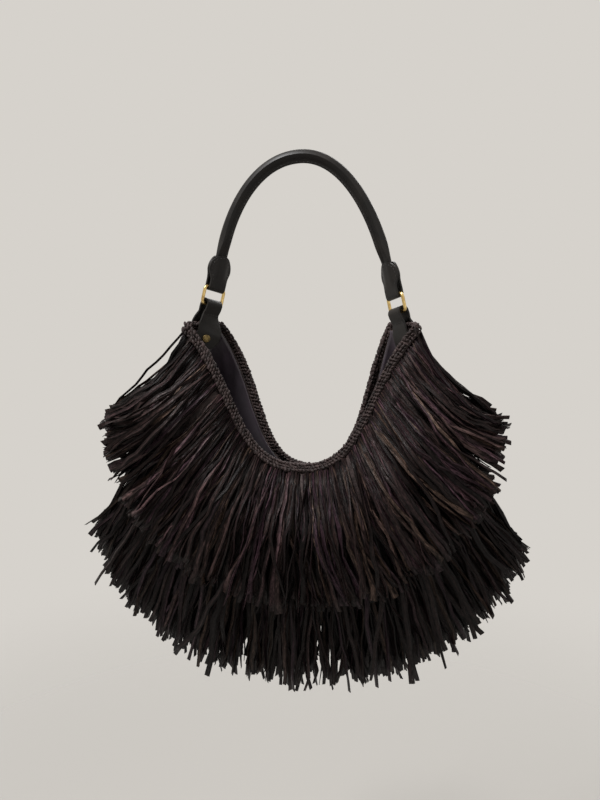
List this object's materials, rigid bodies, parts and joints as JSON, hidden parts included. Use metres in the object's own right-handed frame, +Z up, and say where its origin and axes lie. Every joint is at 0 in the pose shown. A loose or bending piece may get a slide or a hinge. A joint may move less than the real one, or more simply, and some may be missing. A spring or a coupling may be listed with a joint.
{
  "type": "fringed shoulder bag",
  "caption": "Half-moon hobo shoulder bag with tiers of dark straw fringe, crocheted rim, satin lining, rolled leather handle and brass rings.",
  "frame": {"origin": "where a hook carries the bag: the underside of the handle at its highest point", "axes": "+Z up, +X to the viewer's right along the mouth, front of the bag towards -Y"},
  "size_m": [0.4144, 0.0992, 0.4917],
  "materials": {
    "crochet": "crocheted paper straw, near-black brown",
    "straw": "crumpled flat paper-straw ribbon, near-black brown",
    "lining_satin": "dark plum satin",
    "leather": "smooth black leather, soft sheen",
    "cord": "twisted cotton filler cord",
    "brass": "polished brass wire",
    "aged_brass": "antique brass cap"
  },
  "bodies": {
    "bag": {"crochet_shell": "crochet", "rim_edging": "crochet", "lining": "lining_satin", "front_upper_fringe": "straw", "front_lower_fringe": "straw", "back_upper_fringe": "straw", "back_lower_fringe": "straw", "handle_sleeve": "leather", "handle_core": "cord", "left_handle_tab": "leather", "right_handle_tab": "leather", "left_anchor_tab": "leather", "right_anchor_tab": "leather", "left_rivet": "aged_brass", "right_rivet": "aged_brass", "left_rivet_cap": "aged_brass", "right_rivet_cap": "aged_brass"},
    "left_ring": {"left_ring": "brass"},
    "right_ring": {"right_ring": "brass"}
  },
  "joints": [
    {"name": "left_ring_swing", "type": "hinge", "parent": "bag", "child": "left_ring", "pos_m": [-0.08128, -0.00272, -0.10923], "axis": [-0.4998, -0.8438, 0.1953], "range_deg": [-6, 6]},
    {"name": "right_ring_swing", "type": "hinge", "parent": "bag", "child": "right_ring", "pos_m": [0.08419, -0.0028, -0.11624], "axis": [-0.5024, 0.8429, -0.1927], "range_deg": [-6, 6]}
  ]
}
